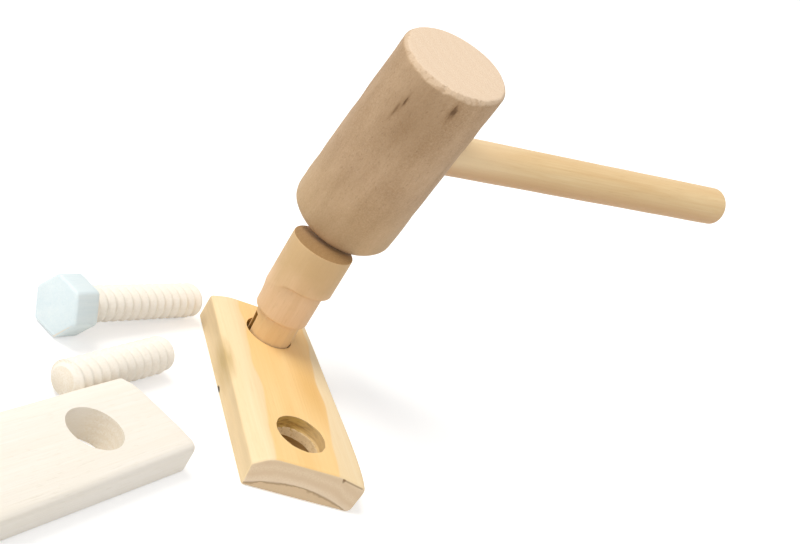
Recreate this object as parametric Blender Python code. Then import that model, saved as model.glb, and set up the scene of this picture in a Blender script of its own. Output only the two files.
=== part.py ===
"""Wooden toy tool set: a mallet on a split peg in a drilled board, with a spare board, a stud and a bolt.

Units are metres, +Z is up, and the first board lies flat with its underside on Z = 0. Its width runs along
X and its length along Y. Sizes below are in millimetres and are scaled once, when a mesh is made.
"""
import math

import bmesh
import bpy
from mathutils import Matrix, Vector

MM = 0.001

# Clearances
SEAT_GAP = 0.3
TENON_CLEARANCE = 0.3

# Boards
BOARD_WIDTH = 36.2
SPARE_BOARD_WIDTH = 31.0
BOARD_THICKNESS = 10.5
HOLE_SPACING = 53.0
END_MARGIN = 15.7
SPARE_END_MARGIN = 27.0
BOARD_EDGE_ROUND = 0.7
LEFT_CHAMFER_RUN = 5.6
LEFT_CHAMFER_DROP_FAR = 1.6
LEFT_CHAMFER_DROP_NEAR = 3.4
RIGHT_CHAMFER_RUN = 7.4
RIGHT_CHAMFER_DROP_FAR = 0.5
RIGHT_CHAMFER_DROP_NEAR = 1.7
RIGHT_FLARE_NEAR = 1.4

# Peg holes, of which the empty one shows a narrower collar halfway down, left by boring from both faces
PEG_HOLE_RADIUS = 8.2
COLLAR_RADIUS = 7.5
COLLAR_LOW = 3.6
COLLAR_HIGH = 6.5
COLLAR_SLOPE = 0.3

# Round right-handed thread of the stud and the bolt, which pass freely through the boards' holes
SHAFT_RADIUS = 5.1
THREAD_DEPTH = 0.6
THREAD_PITCH = 3.7
THREAD_SIDES = 28
STEPS_PER_TURN = 6
CUT_OVERRUN = 1.0

# Split peg, standing in the first board's far hole
TENON_ENGAGED = 4.0
TENON_SHOWN = 8.5
WAIST_HEIGHT = 13.2
WAIST_RADIUS = 9.2
CAP_HEIGHT = 15.0
CAP_RADIUS = 10.6
PEG_ROUND = 0.9
KERF_WIDTH = 2.4
KERF_ROOF = 2.6
KERF_TURN = 0.0

# Mallet
HEAD_RADIUS_FOOT = 18.2
HEAD_RADIUS_FACE = 17.5
HEAD_LENGTH = 71.2
HEAD_FACE_BEVEL = 2.0
HEAD_FOOT_ROUND = 3.6
HEAD_LEAN = Vector((-0.052, -0.291, 0.955)).normalized()
HEAD_FOOT_OFFSET = Vector((8.6, 15.1))
HANDLE_RADIUS_HEAD = 6.8
HANDLE_RADIUS_GRIP = 6.9
HANDLE_FOOT_CHAMFER = 1.0
HANDLE_END_ROUND = 2.5
HANDLE_SOCKET_DEPTH = 27.0
HANDLE_WAY = Vector((0.971, 0.207, 0.116))
GRIP_REACH = 128.0
GRIP_TAIL = 22.0

# Loose pieces lying beside the first board
SPARE_BOARD_HOLE = Vector((-67.0, -51.0))
SPARE_BOARD_TURN = 40.0
STUD_LENGTH = 44.0
STUD_CENTRE = Vector((-56.0, -12.4))
STUD_TURN = 41.0
END_CHAMFER = 1.2
BOLT_NECK = Vector((-66.5, 10.5))
BOLT_TURN = 35.0
BOLT_THREAD_LENGTH = 52.0
BOLT_SOCKET_DEPTH = 6.5
BOLT_TENON_RADIUS = 3.8
BOLT_HEAD_LENGTH = 9.5
BOLT_HEAD_FLATS = 16.6
BOLT_HEAD_BEVEL = 1.0

ROUND_SIDES = 48
BEVEL_SEGMENTS = 3


def clear_scene():
    for thing in list(bpy.data.objects):
        bpy.data.objects.remove(thing, do_unlink=True)


def make_material(name, colour, roughness):
    material = bpy.data.materials.new(name)
    material.use_nodes = True
    shader = material.node_tree.nodes["Principled BSDF"]
    shader.inputs["Base Color"].default_value = (*colour, 1.0)
    shader.inputs["Roughness"].default_value = roughness
    shader.inputs["Metallic"].default_value = 0.0
    material.diffuse_color = (*colour, 1.0)
    return material


def object_from(mesh_maker, name, material=None):
    """Closed object in metres from a bmesh drawn in millimetres."""
    bmesh.ops.recalc_face_normals(mesh_maker, faces=mesh_maker.faces)
    bmesh.ops.scale(mesh_maker, vec=(MM, MM, MM), verts=mesh_maker.verts)
    mesh = bpy.data.meshes.new(name)
    mesh_maker.to_mesh(mesh)
    mesh_maker.free()
    thing = bpy.data.objects.new(name, mesh)
    bpy.context.scene.collection.objects.link(thing)
    if material:
        mesh.materials.append(material)
    return thing


def bridge_rings(mesh_maker, rings):
    """Skin a list of equal rings of points, and close both ends with one face each."""
    loops = [[mesh_maker.verts.new(point) for point in ring] for ring in rings]
    count = len(loops[0])
    for low, high in zip(loops, loops[1:]):
        for i in range(count):
            j = (i + 1) % count
            mesh_maker.faces.new((low[i], low[j], high[j], high[i]))
    mesh_maker.faces.new(reversed(loops[0]))
    mesh_maker.faces.new(loops[-1])


def arc(centre_radius, centre_height, size, start, stop, steps=BEVEL_SEGMENTS):
    """Points (radius, height) of a fillet, from one angle in degrees to another."""
    points = []
    for i in range(steps + 1):
        angle = math.radians(start + (stop - start) * i / steps)
        points.append((centre_radius + size * math.cos(angle), centre_height + size * math.sin(angle)))
    return points


def turned(profile, sides=ROUND_SIDES):
    """Solid of revolution about Z through (radius, height) points listed from the foot up."""
    mesh_maker = bmesh.new()
    rings = []
    for radius, height in profile:
        ring = []
        for i in range(sides):
            angle = 2.0 * math.pi * i / sides
            ring.append((radius * math.cos(angle), radius * math.sin(angle), height))
        rings.append(ring)
    bridge_rings(mesh_maker, rings)
    return mesh_maker


def thread_form(low, high):
    """Round right-handed thread about Z between two heights, its ends drawn in by a chamfer."""
    mesh_maker = bmesh.new()
    steps = max(2, round((high - low) / THREAD_PITCH * STEPS_PER_TURN))
    heights = [low + (high - low) * i / steps for i in range(steps + 1)]
    root = SHAFT_RADIUS - THREAD_DEPTH
    rings = []
    for height in heights:
        reach = min(height - low, high - height)
        limit = shaft_crest()
        if reach < END_CHAMFER:
            limit = root - END_CHAMFER / 2.0 + reach
        ring = []
        for i in range(THREAD_SIDES):
            angle = 2.0 * math.pi * i / THREAD_SIDES
            wave = math.cos(2.0 * math.pi * height / THREAD_PITCH - angle)
            radius = min(SHAFT_RADIUS + THREAD_DEPTH * wave, limit)
            ring.append((radius * math.cos(angle), radius * math.sin(angle), height))
        rings.append(ring)
    bridge_rings(mesh_maker, rings)
    return mesh_maker


def box(size, centre):
    mesh_maker = bmesh.new()
    bmesh.ops.create_cube(mesh_maker, size=1.0)
    bmesh.ops.scale(mesh_maker, vec=size, verts=mesh_maker.verts)
    bmesh.ops.translate(mesh_maker, vec=centre, verts=mesh_maker.verts)
    return mesh_maker


def cut(body, mesh_maker, name):
    """Cut a hidden tool, drawn in the body's own frame, out of the body."""
    tool = object_from(mesh_maker, name)
    tool.parent = body
    tool.hide_render = True
    tool.display_type = "WIRE"
    modifier = body.modifiers.new(name, "BOOLEAN")
    modifier.operation = "DIFFERENCE"
    modifier.solver = "EXACT"
    modifier.object = tool


def place(name, matrix, parent=None):
    """Empty that carries a piece or a group of pieces, in millimetres."""
    carrier = bpy.data.objects.new(name, None)
    bpy.context.scene.collection.objects.link(carrier)
    scaled = matrix.copy()
    scaled.translation *= MM
    carrier.parent = parent
    carrier.matrix_local = scaled
    return carrier


def plane_matrix(point, turn, height=0.0):
    """Frame on the table: turned by degrees about Z, at a point given as X and Y."""
    return Matrix.Translation((point.x, point.y, height)) @ Matrix.Rotation(math.radians(turn), 4, "Z")


def hole_tool(kind):
    """Tool for one plain or collared board hole about Z, through the whole thickness."""
    profile = [(PEG_HOLE_RADIUS, -CUT_OVERRUN)]
    if kind == "collared":
        profile += [(PEG_HOLE_RADIUS, COLLAR_LOW - COLLAR_SLOPE), (COLLAR_RADIUS, COLLAR_LOW)]
        profile += [(COLLAR_RADIUS, COLLAR_HIGH), (PEG_HOLE_RADIUS, COLLAR_HIGH + COLLAR_SLOPE)]
    profile += [(PEG_HOLE_RADIUS, BOARD_THICKNESS + CUT_OVERRUN)]
    return turned(profile)


def board(name, material, width, end_margin, near_kind, far_kind):
    """Board along Y with tapering chamfers on its long upper edges and a hole near each end."""
    half_length = HOLE_SPACING / 2.0 + end_margin
    half_width = width / 2.0
    near_end = (-half_length, LEFT_CHAMFER_DROP_NEAR, RIGHT_CHAMFER_DROP_NEAR, RIGHT_FLARE_NEAR)
    far_end = (half_length, LEFT_CHAMFER_DROP_FAR, RIGHT_CHAMFER_DROP_FAR, 0.0)
    rings = []
    for y, left_drop, right_drop, flare in (near_end, far_end):
        section = [
            (-half_width, 0.0),
            (half_width, 0.0),
            (half_width + flare, BOARD_THICKNESS - right_drop),
            (half_width - RIGHT_CHAMFER_RUN, BOARD_THICKNESS),
            (-half_width + LEFT_CHAMFER_RUN, BOARD_THICKNESS),
            (-half_width, BOARD_THICKNESS - left_drop),
        ]
        rings.append([(x, y, z) for x, z in section])
    mesh_maker = bmesh.new()
    bridge_rings(mesh_maker, rings)
    upper = [edge for edge in mesh_maker.edges if max(v.co.z for v in edge.verts) > 0.0]
    bmesh.ops.bevel(mesh_maker, geom=upper, offset=BOARD_EDGE_ROUND, segments=2, profile=0.5, affect="EDGES")
    body = object_from(mesh_maker, name, material)
    near_hole = ("near", -HOLE_SPACING / 2.0, near_kind)
    far_hole = ("far", HOLE_SPACING / 2.0, far_kind)
    for side, y, kind in (near_hole, far_hole):
        tool = hole_tool(kind)
        bmesh.ops.translate(tool, vec=(0.0, y, 0.0), verts=tool.verts)
        cut(body, tool, name + "_" + side + "_hole_tool")
    return body


def split_peg(material):
    """Turned peg with a slim sawn tenon, a waist and a wider cap, its foot at local Z = 0."""
    tenon_radius = PEG_HOLE_RADIUS - TENON_CLEARANCE
    waist_foot = TENON_ENGAGED + TENON_SHOWN
    cap_foot = waist_foot + WAIST_HEIGHT
    top = cap_foot + CAP_HEIGHT
    rim = PEG_ROUND / 2.0
    profile = [(tenon_radius - rim, 0.0), (tenon_radius, rim), (tenon_radius, waist_foot)]
    profile += arc(WAIST_RADIUS - PEG_ROUND, waist_foot + PEG_ROUND, PEG_ROUND, -90.0, 0.0)
    profile += [(WAIST_RADIUS, cap_foot)]
    profile += arc(CAP_RADIUS - PEG_ROUND, cap_foot + PEG_ROUND, PEG_ROUND, -90.0, 0.0)
    profile += arc(CAP_RADIUS - rim, top - rim, rim, 0.0, 90.0)
    body = object_from(turned(profile), "split_peg", material)
    kerf_top = waist_foot - KERF_ROOF
    kerf_size = (4.0 * tenon_radius, KERF_WIDTH, kerf_top + CUT_OVERRUN)
    kerf = box(kerf_size, (0.0, 0.0, (kerf_top - CUT_OVERRUN) / 2.0))
    bmesh.ops.rotate(kerf, matrix=Matrix.Rotation(math.radians(KERF_TURN), 3, "Z"), verts=kerf.verts)
    cut(body, kerf, "split_peg_kerf_tool")
    return body


def mallet_frame():
    """Frame at the head's foot: Z up the head, X out along the handle; the foot's rim rests on the peg."""
    z_way = HEAD_LEAN
    x_way = (HANDLE_WAY - z_way * HANDLE_WAY.dot(z_way)).normalized()
    y_way = z_way.cross(x_way)
    slope = math.sqrt(1.0 - z_way.z ** 2)
    ring = HEAD_RADIUS_FOOT - HEAD_FOOT_ROUND
    lowest_below_foot = ring * slope + HEAD_FOOT_ROUND * (1.0 - z_way.z)
    foot_height = peg_top_height() + SEAT_GAP + lowest_below_foot
    spot = Vector((HEAD_FOOT_OFFSET.x, HEAD_FOOT_OFFSET.y + HOLE_SPACING / 2.0, foot_height))
    frame = Matrix((x_way, y_way, z_way)).transposed().to_4x4()
    frame.translation = spot
    return frame


def peg_foot_height():
    return BOARD_THICKNESS - TENON_ENGAGED


def peg_top_height():
    return BOARD_THICKNESS + TENON_SHOWN + WAIST_HEIGHT + CAP_HEIGHT


def mallet_head(material):
    """Tapering barrel with a bevelled face above, a rounded one below and a blind socket for the handle."""
    bevel = HEAD_FACE_BEVEL
    profile = arc(HEAD_RADIUS_FOOT - HEAD_FOOT_ROUND, HEAD_FOOT_ROUND, HEAD_FOOT_ROUND, -90.0, 0.0, 4)
    profile += arc(HEAD_RADIUS_FACE - bevel, HEAD_LENGTH - bevel, bevel, 0.0, 90.0)
    body = object_from(turned(profile), "mallet_head", material)
    socket_floor = HEAD_RADIUS_FOOT - HANDLE_SOCKET_DEPTH
    radius = HANDLE_RADIUS_HEAD + SEAT_GAP
    tool = turned([(radius, socket_floor), (radius, HEAD_RADIUS_FOOT + CUT_OVERRUN)])
    bmesh.ops.transform(tool, matrix=handle_local(), verts=tool.verts)
    cut(body, tool, "mallet_head_socket_tool")
    return body


def handle_local():
    """Turn the handle's own Z onto the mallet's X, at the middle of the head."""
    return Matrix.Translation((0.0, 0.0, HEAD_LENGTH / 2.0)) @ Matrix.Rotation(math.radians(90.0), 4, "Y")


def mallet_handle(material):
    """Tapering round handle from the socket's floor to a rounded grip end."""
    start = HEAD_RADIUS_FOOT - HANDLE_SOCKET_DEPTH + SEAT_GAP
    end = GRIP_REACH + GRIP_TAIL
    chamfer = HANDLE_FOOT_CHAMFER
    profile = [(HANDLE_RADIUS_HEAD - chamfer, start), (HANDLE_RADIUS_HEAD, start + chamfer)]
    profile += [(HANDLE_RADIUS_HEAD, HEAD_RADIUS_FOOT)]
    rounding = HANDLE_END_ROUND
    profile += arc(HANDLE_RADIUS_GRIP - rounding, end - rounding, rounding, 0.0, 90.0)
    mesh_maker = turned(profile, 40)
    bmesh.ops.transform(mesh_maker, matrix=handle_local(), verts=mesh_maker.verts)
    return object_from(mesh_maker, "mallet_handle", material)


def shaft_crest():
    """Radius over the crests of the thread."""
    return SHAFT_RADIUS + THREAD_DEPTH


def threaded_stud(material):
    """Headless threaded rod along its own X."""
    mesh_maker = thread_form(-STUD_LENGTH / 2.0, STUD_LENGTH / 2.0)
    bmesh.ops.rotate(mesh_maker, matrix=Matrix.Rotation(math.radians(90.0), 3, "Y"), verts=mesh_maker.verts)
    return object_from(mesh_maker, "threaded_stud", material)


def bolt_shank(material):
    """Threaded shank along X from the head's inner face, with a plain tenon back into the head."""
    tenon = turned(
        [(BOLT_TENON_RADIUS, SEAT_GAP - BOLT_SOCKET_DEPTH), (BOLT_TENON_RADIUS, SEAT_GAP + END_CHAMFER)],
        THREAD_SIDES,
    )
    body = object_from(tenon, "bolt_shank", material)
    thread = thread_form(SEAT_GAP, BOLT_THREAD_LENGTH)
    tool = object_from(thread, "bolt_shank_thread_tool")
    tool.parent = body
    tool.hide_render = True
    tool.display_type = "WIRE"
    modifier = body.modifiers.new("thread", "BOOLEAN")
    modifier.operation = "UNION"
    modifier.solver = "EXACT"
    modifier.object = tool
    return body


def bolt_head(material):
    """Six-sided head along X, ending at X = 0, with a blind socket for the shank's tenon."""
    mesh_maker = bmesh.new()
    corner = BOLT_HEAD_FLATS / math.sqrt(3.0)
    rings = []
    for x in (-BOLT_HEAD_LENGTH, 0.0):
        ring = []
        for i in range(6):
            angle = math.radians(60.0 * i)
            ring.append((x, corner * math.cos(angle), corner * math.sin(angle)))
        rings.append(ring)
    bridge_rings(mesh_maker, rings)
    bmesh.ops.bevel(
        mesh_maker, geom=mesh_maker.edges[:], offset=BOLT_HEAD_BEVEL, segments=2, profile=0.5, affect="EDGES"
    )
    body = object_from(mesh_maker, "bolt_head", material)
    radius = BOLT_TENON_RADIUS + SEAT_GAP
    tool = turned([(radius, -BOLT_SOCKET_DEPTH), (radius, CUT_OVERRUN)], THREAD_SIDES)
    bmesh.ops.rotate(tool, matrix=Matrix.Rotation(math.radians(90.0), 3, "Y"), verts=tool.verts)
    cut(body, tool, "bolt_head_socket_tool")
    return body


def main():
    clear_scene()
    orange_wood = make_material("orange_board_wood", (0.83, 0.53, 0.21), 0.55)
    tan_wood = make_material("tan_barrel_wood", (0.50, 0.32, 0.18), 0.6)
    pale_wood = make_material("pale_handle_wood", (0.88, 0.70, 0.42), 0.5)
    peg_wood = make_material("beige_peg_wood", (0.66, 0.43, 0.23), 0.55)
    white_wood = make_material("bleached_loose_wood", (0.90, 0.80, 0.63), 0.6)
    blue_paint = make_material("pale_blue_paint", (0.52, 0.72, 0.83), 0.5)

    first = place("first_board_place", Matrix.Identity(4))
    drilled = board("drilled_board", orange_wood, BOARD_WIDTH, END_MARGIN, "collared", "plain")
    drilled.parent = first

    peg_spot = Matrix.Translation((0.0, HOLE_SPACING / 2.0, peg_foot_height()))
    split_peg(peg_wood).parent = place("peg_axis", peg_spot)

    grip = mallet_frame() @ Matrix.Translation((GRIP_REACH, 0.0, HEAD_LENGTH / 2.0))
    swing = place("mallet_swing_axis", grip)
    mallet = place("mallet_foot", grip.inverted() @ mallet_frame(), swing)
    mallet_head(tan_wood).parent = mallet
    mallet_handle(pale_wood).parent = mallet

    turn = plane_matrix(SPARE_BOARD_HOLE, SPARE_BOARD_TURN - 90.0)
    spare = place("spare_board_place", turn @ Matrix.Translation((0.0, -HOLE_SPACING / 2.0, 0.0)))
    spare_size = (SPARE_BOARD_WIDTH, SPARE_END_MARGIN)
    spare_body = board("spare_board", white_wood, *spare_size, "plain", "plain")
    spare_body.parent = spare

    stud = place("stud_place", plane_matrix(STUD_CENTRE, STUD_TURN, shaft_crest()))
    threaded_stud(white_wood).parent = stud

    half_flats = BOLT_HEAD_FLATS / 2.0
    droop = math.atan2(half_flats - shaft_crest(), BOLT_THREAD_LENGTH - END_CHAMFER)
    neck_height = half_flats * math.cos(droop)
    lying = plane_matrix(BOLT_NECK, BOLT_TURN, neck_height) @ Matrix.Rotation(droop, 4, "Y")
    bolt = place("bolt_place", lying)
    bolt_shank_body = bolt_shank(white_wood)
    bolt_shank_body.parent = place("bolt_shank_turn", Matrix.Rotation(math.radians(90.0), 4, "Y"), bolt)
    bolt_head(blue_paint).parent = bolt

    bpy.context.view_layer.update()
    for carrier in (swing, first, spare, stud, bolt):
        print(carrier.name, [round(value / MM, 3) for value in carrier.matrix_world.translation])
    swing_axis = swing.matrix_world.to_3x3() @ Vector((0.0, 1.0, 0.0))
    print("swing axis that lifts the head", [round(value, 5) for value in swing_axis])


main()
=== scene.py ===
# %% [markdown]
# A wooden toy tool set: a barrel mallet rests on a split peg that stands in a drilled board, and a spare
# board, a threaded stud and a bolt lie beside it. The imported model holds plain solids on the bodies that
# move. They could be shown as they are, but wood seen this close shows grain, wear and tool marks, so this
# lesson draws a finer mesh over each solid and gives each piece its own wood.

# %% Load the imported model
import math

import bmesh
import bpy
from mathutils import Matrix, Vector, noise


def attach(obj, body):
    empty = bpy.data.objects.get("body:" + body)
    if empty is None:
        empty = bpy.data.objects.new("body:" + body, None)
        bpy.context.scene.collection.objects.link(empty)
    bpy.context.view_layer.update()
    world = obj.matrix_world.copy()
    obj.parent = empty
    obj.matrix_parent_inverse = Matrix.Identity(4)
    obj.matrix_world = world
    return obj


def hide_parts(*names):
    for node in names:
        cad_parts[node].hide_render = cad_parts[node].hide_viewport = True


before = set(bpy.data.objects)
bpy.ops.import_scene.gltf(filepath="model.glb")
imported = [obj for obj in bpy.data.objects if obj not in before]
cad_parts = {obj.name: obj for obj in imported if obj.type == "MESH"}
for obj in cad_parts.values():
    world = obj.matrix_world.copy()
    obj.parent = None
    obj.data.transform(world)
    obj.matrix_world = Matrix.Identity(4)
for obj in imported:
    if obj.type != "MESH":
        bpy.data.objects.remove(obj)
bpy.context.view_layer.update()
print("nodes:", sorted(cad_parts))

# %% [markdown]
# Woodworkers measure in millimetres and Blender counts in metres, so the pieces are drawn in millimetres
# and scaled once at the end. The sizes below are shared by several pieces. They are the ones that the
# solids were made with, so that each fine mesh lies on its solid.

# %% Sizes that several pieces share, in millimetres
MM = 0.001
SEAT_GAP = 0.3
BOARD_THICKNESS = 10.5
HOLE_SPACING = 53.0
PEG_HOLE_RADIUS = 8.2
CUT_OVERRUN = 1.0
print("holes", 2.0 * PEG_HOLE_RADIUS, "mm wide and", HOLE_SPACING, "mm apart")


# %% [markdown]
# Every piece ends the same way. Its mesh is scaled, placed by one matrix and shaded smooth except at sharp
# edges; it is given its material and hung on the body that it rides on, and the solid that it stands for is
# hidden.
# Holes could stay as live Boolean modifiers, but their tools would then have to stay in the scene, so each
# cut is applied at once and its tool is removed.

# %% From a drawn mesh to a piece
def scaled(matrix):
    """Copy of a matrix whose place is given in millimetres."""
    copy = matrix.copy()
    copy.translation *= MM
    return copy


def mesh_object(maker, name):
    """Object from a mesh drawn in millimetres, with its faces turned outwards."""
    bmesh.ops.recalc_face_normals(maker, faces=maker.faces)
    bmesh.ops.scale(maker, vec=(MM, MM, MM), verts=maker.verts)
    mesh = bpy.data.meshes.new(name)
    maker.to_mesh(mesh)
    maker.free()
    thing = bpy.data.objects.new(name, mesh)
    bpy.context.scene.collection.objects.link(thing)
    return thing


def cut_away(thing, makers):
    """Cut drawn tools out of a piece for good, so that no tool stays in the scene."""
    tools = [mesh_object(maker, thing.name + "_tool") for maker in makers]
    for tool in tools:
        modifier = thing.modifiers.new("cut", "BOOLEAN")
        modifier.operation = "DIFFERENCE"
        modifier.solver = "EXACT"
        modifier.object = tool
    graph = bpy.context.evaluated_depsgraph_get()
    cut_mesh = bpy.data.meshes.new_from_object(thing.evaluated_get(graph))
    thing.modifiers.clear()
    thing.data = cut_mesh
    for tool in tools:
        bpy.data.objects.remove(tool, do_unlink=True)


def finish_piece(thing, place, material, body, node, sharp):
    """Place, shade and attach a piece and hide its solid; edges that turn by more than sharp degrees stay
    crisp.
    """
    thing.matrix_world = scaled(place)
    mesh = thing.data
    mesh.materials.clear()
    mesh.materials.append(material)
    mesh.polygons.foreach_set("use_smooth", [True] * len(mesh.polygons))
    mesh.set_sharp_from_angle(angle=math.radians(sharp))
    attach(thing, body)
    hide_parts(node)
    print(thing.name, "has", len(mesh.polygons), "faces and rides on", body)


# %% [markdown]
# The barrel, the handle and the peg came off a lathe, and a turned piece is a profile spun about an axis.
# Blender's Screw modifier spins one fixed profile. A worn rim or an askew shoulder changes on the way round,
# though, so here the profile is a function of the angle, and a skin is laid over the rings that it makes.
# A little noise moves the surface as sanding does, which keeps the outline from looking machined.

# %% Skins and turned forms
ROUND_STEPS = 8


def skin(rings):
    """Closed mesh over equal rings of points."""
    maker = bmesh.new()
    loops = [[maker.verts.new(point) for point in ring] for ring in rings]
    count = len(loops[0])
    for low, high in zip(loops, loops[1:]):
        for i in range(count):
            j = (i + 1) % count
            maker.faces.new((low[i], low[j], high[j], high[i]))
    maker.faces.new(reversed(loops[0]))
    maker.faces.new(loops[-1])
    return maker


def arc(centre_radius, centre_height, size, start, stop, steps=ROUND_STEPS):
    """Points of a round edge on a profile, between two angles in degrees."""
    points = []
    for i in range(steps + 1):
        angle = math.radians(start + (stop - start) * i / steps)
        points.append((centre_radius + size * math.cos(angle), centre_height + size * math.sin(angle)))
    return points


def turned(profile_at, sides, uneven=0.0, grit=1.0):
    """Spin (radius, height) points about Z; sanding moves the surface by uneven, in waves of grit mm."""
    columns = []
    for i in range(sides):
        angle = 2.0 * math.pi * i / sides
        out = Vector((math.cos(angle), math.sin(angle), 0.0))
        column = []
        for radius, height in profile_at(angle):
            spot = out * radius + Vector((0.0, 0.0, height))
            column.append(spot + out * uneven * noise.noise(spot / grit))
        columns.append(column)
    return skin(list(zip(*columns)))


print("a quarter round is drawn with", len(arc(0.0, 0.0, 1.0, 0.0, 90.0)), "points")


# %% [markdown]
# A material is a tree of nodes. One small function adds any node, sets it and links it. Inputs go by name or
# are counted from 0, from the top of the node. A Map Range node has its value, then the span that comes in
# and the span that goes out. A Mix node hides sockets for other kinds of data, so its two colours are 6 and
# 7. Colours are written as the sRGB hex values that a painter would read off the wood, and one function
# turns them into the linear values that Blender mixes.

# %% Nodes and colours
def linear(code):
    """Linear RGBA from an sRGB hex colour such as "fcd392"."""
    values = [int(code[i:i + 2], 16) / 255.0 for i in (0, 2, 4)]
    spread = [v / 12.92 if v <= 0.04045 else ((v + 0.055) / 1.055) ** 2.4 for v in values]
    return (*spread, 1.0)


def add(tree, kind, inputs=None, out=None, **settings):
    """Add a node and give its output named out, or else the first output that is in use.

    A socket given as an input is linked, and any other value is set. The node's other outputs are reached
    through the node that the given output belongs to."""
    node = tree.nodes.new("ShaderNode" + kind)
    for name, value in settings.items():
        setattr(node, name, value)
    for key, value in (inputs or {}).items():
        if isinstance(value, bpy.types.NodeSocket):
            tree.links.new(value, node.inputs[key])
        else:
            node.inputs[key].default_value = value
    return node.outputs[out] if out else next(socket for socket in node.outputs if socket.enabled)


def new_material(name):
    """Material with a bare Principled shader, and its tree of nodes."""
    material = bpy.data.materials.new(name)
    material.use_nodes = True
    return material, material.node_tree


print("fresh larch in linear light:", [round(value, 3) for value in linear("fcd392")])


# %% [markdown]
# The woods are coloured as a joiner stains them: one tint over another, each held to its own place. A place
# is a measure in millimetres, such as a height or the distance from a spot, and the tint grows while that
# measure crosses a span. A painted image could hold the same marks, but it would have to be unwrapped onto
# every piece and would blur close up.

# %% Tints that keep to a place
def tinted(tree, colour, tint, measure, span, strength=1.0, least=0.0, within=()):
    """Lay a tint over a colour, from a share of least to one of strength while a measure crosses a span.

    The tint is a hex colour or a socket, and each mask in within holds it back where that mask is 0."""
    share = add(tree, "MapRange", {0: measure, 1: span[0], 2: span[1], 3: least, 4: strength})
    for mask in within:
        share = add(tree, "Math", {0: share, 1: mask}, operation="MULTIPLY")
    layer = linear(tint) if isinstance(tint, str) else tint
    return add(tree, "Mix", {0: share, 6: colour, 7: layer}, data_type="RGBA")


def spread_from(tree, mm, spot, size):
    """Distance from a spot, counted in the half sizes that a patch has along X, Y and Z."""
    away = add(tree, "VectorMath", {0: mm, 1: spot}, operation="SUBTRACT")
    near = add(tree, "VectorMath", {0: away, 1: size}, operation="DIVIDE")
    return add(tree, "VectorMath", {0: near}, operation="LENGTH")


print("tints are laid by", tinted.__name__, "and measured out by", spread_from.__name__)

# %% [markdown]
# Along the grain, every wood is built up alike: broad tone bands, fibre lines, and pores that show as short
# dark dashes. Only scales and colours differ, so one function draws this base from sizes in millimetres, and
# each wood then adds what is its own. Real fibres and pores are 0.02 to 0.2 mm wide, too fine for a pixel of
# about 0.3 mm, so they are drawn at 0.4 to 0.7 mm, as coarse as they need to be to show.

# %% Long grain shared by every wood
BAND_SPAN = (0.3, 0.7)
FIBRE_SPAN = (0.35, 0.65)
PORE_SPAN = (0.62, 0.74)
PORE_SINK = -0.8
# Detail, roughness and bend of the noise behind the bands, the fibres and the pores.
GRAIN_NOISE = ((3.0, 0.55, 0.4), (4.0, 0.6, 0.0), (1.0, 0.5, 0.0))


def long_grain(tree, along, colours, band, fibre, pore, pores, lines):
    """Place in mm, colour and relief of wood cut along its grain; sizes are (across, along) in mm.

    The colours are of pale bands, dark bands, fibre lines and pores; pores and lines are their strengths."""
    spot = add(tree, "TexCoord", out="Object")
    mm = add(tree, "VectorMath", {0: spot, "Scale": 1.0 / MM}, operation="SCALE")
    waves = []
    for (across, length), (detail, rough, bend) in zip((band, fibre, pore), GRAIN_NOISE):
        share = [1.0 / length if axis == along else 1.0 / across for axis in "XYZ"]
        drawn = add(tree, "VectorMath", {0: mm, 1: share}, operation="MULTIPLY")
        waves.append(add(tree, "TexNoise", {"Vector": drawn, "Scale": 1.0, "Detail": detail,
                                            "Roughness": rough, "Distortion": bend}))
    bands, fibres, specks = waves
    line = add(tree, "MapRange", {0: fibres, 1: FIBRE_SPAN[0], 2: FIBRE_SPAN[1]})
    open_pore = add(tree, "MapRange", {0: specks, 1: PORE_SPAN[0], 2: PORE_SPAN[1]})
    colour = tinted(tree, linear(colours[1]), colours[0], bands, BAND_SPAN)
    colour = tinted(tree, colour, colours[2], line, (0.0, 1.0), lines)
    colour = tinted(tree, colour, colours[3], open_pore, (0.0, 1.0), pores)
    relief = add(tree, "Math", {0: open_pore, 1: PORE_SINK, 2: line}, operation="MULTIPLY_ADD")
    return mm, colour, relief


print("long grain is made of", len(GRAIN_NOISE), "layers of noise")

# %% [markdown]
# Where a saw crosses the grain, the growth rings show as arcs about the tree's pith, with pores as dots
# between them. The end faces could be given a material of their own, but then the grain would stop at a
# hard line, so end grain is laid over the same wood by which way a face looks. The rings are sines of the
# distance from the pith, 1.5 to 5 mm apart as in slow and fast trees, and shaken so that none is a circle.

# %% Sawn ends
SHAKE_PER_MM = 0.12
SHAKE_DEPTH = 4.0
END_PORES_PER_MM = 1.9


def facing(tree, axis, low, high):
    """Mask of the faces that look along an axis of the piece, from its share of the normal."""
    normal = add(tree, "TexCoord", out="Normal")
    share = add(tree, "SeparateXYZ", {0: normal}, out=axis)
    share = add(tree, "Math", {0: share}, operation="ABSOLUTE")
    return add(tree, "MapRange", {0: share, 1: low, 2: high}, interpolation_type="SMOOTHSTEP")


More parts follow.
